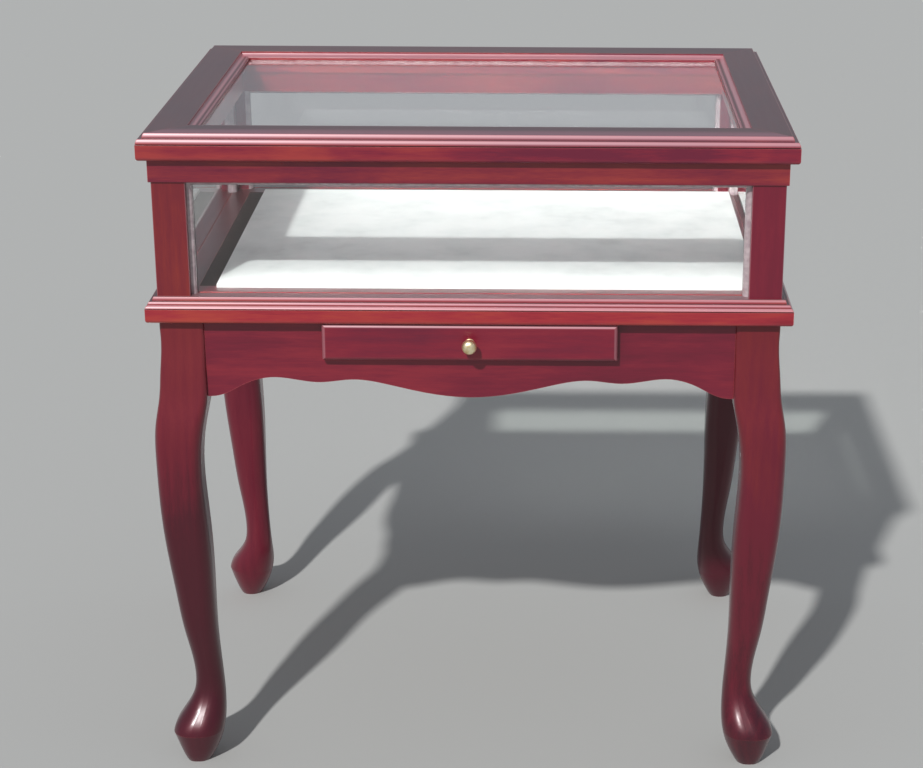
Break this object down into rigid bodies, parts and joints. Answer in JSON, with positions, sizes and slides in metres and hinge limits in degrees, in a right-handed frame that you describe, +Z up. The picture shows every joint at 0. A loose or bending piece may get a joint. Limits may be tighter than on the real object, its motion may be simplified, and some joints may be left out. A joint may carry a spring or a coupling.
{
  "type": "display table",
  "caption": "Glass-topped collectors display table with a hinged lid, cabriole legs and a shallow apron drawer.",
  "frame": {"origin": "centre of the footprint on the floor, under the middle of the bounding box", "axes": "+X to the table's right seen from the drawer side, +Y to the back (away from the drawer), +Z up"},
  "size_m": [0.54, 0.4082, 0.5799],
  "materials": {
    "cherry_upright": "red cherry stain under gloss lacquer, grain upright",
    "cherry_along": "red cherry stain under gloss lacquer, grain along the front",
    "cherry_across": "red cherry stain under gloss lacquer, grain from front to back",
    "cherry_bead": "red cherry stain under gloss lacquer, small mouldings",
    "plain_wood": "bare sawn wood, clear sealed",
    "dark_panel": "dark stained, satin",
    "glass": "clear float glass, polished",
    "white_board": "white, smooth, matt",
    "brass": "polished brass",
    "steel": "zinc plated"
  },
  "bodies": {
    "table": {"base_frame_screws": "steel", "base_front_rail": "cherry_along", "base_left_rail": "cherry_across", "base_panel": "dark_panel", "base_rear_rail": "cherry_along", "base_right_rail": "cherry_across", "case_top_front_rail": "cherry_along", "case_top_left_rail": "cherry_across", "case_top_rear_rail": "cherry_along", "case_top_right_rail": "cherry_across", "corner_block_screws": "steel", "corner_blocks": "plain_wood", "display_board": "white_board", "drawer_kickers": "plain_wood", "drawer_left_runner": "plain_wood", "drawer_right_runner": "plain_wood", "front_apron": "cherry_along", "front_glass": "glass", "front_glass_beads": "cherry_bead", "front_left_leg": "cherry_upright", "front_left_post": "cherry_upright", "front_right_leg": "cherry_upright", "front_right_post": "cherry_upright", "hinge_case_screws": "brass", "left_apron": "cherry_across", "left_glass": "glass", "left_glass_beads": "cherry_bead", "left_hinge_case_leaf": "brass", "left_hinge_pin": "brass", "post_dowels": "plain_wood", "rear_apron": "cherry_along", "rear_glass": "glass", "rear_glass_beads": "cherry_bead", "rear_left_leg": "cherry_upright", "rear_left_post": "cherry_upright", "rear_right_leg": "cherry_upright", "rear_right_post": "cherry_upright", "right_apron": "cherry_across", "right_glass": "glass", "right_glass_beads": "cherry_bead", "right_hinge_case_leaf": "brass", "right_hinge_pin": "brass"},
    "lid": {"lid_front_rail": "cherry_along", "lid_rear_rail": "cherry_along", "lid_left_stile": "cherry_across", "lid_right_stile": "cherry_across", "lid_glass": "glass", "lid_glass_beads": "cherry_bead", "left_hinge_lid_leaf": "brass", "right_hinge_lid_leaf": "brass", "hinge_lid_screws": "brass"},
    "drawer": {"drawer_front": "cherry_along", "drawer_left_side": "plain_wood", "drawer_right_side": "plain_wood", "drawer_back": "plain_wood", "drawer_bottom": "plain_wood", "drawer_knob": "brass", "drawer_knob_screw": "steel"}
  },
  "joints": [
    {"name": "lid_hinge", "type": "hinge", "parent": "table", "child": "lid", "pos_m": [0, 0.19755, 0.5576], "axis": [-1, 0, 0], "range_deg": [0, 98]},
    {"name": "drawer_slide", "type": "slide", "parent": "table", "child": "drawer", "axis": [0, -1, 0], "range_m": [0, 0.19]}
  ]
}
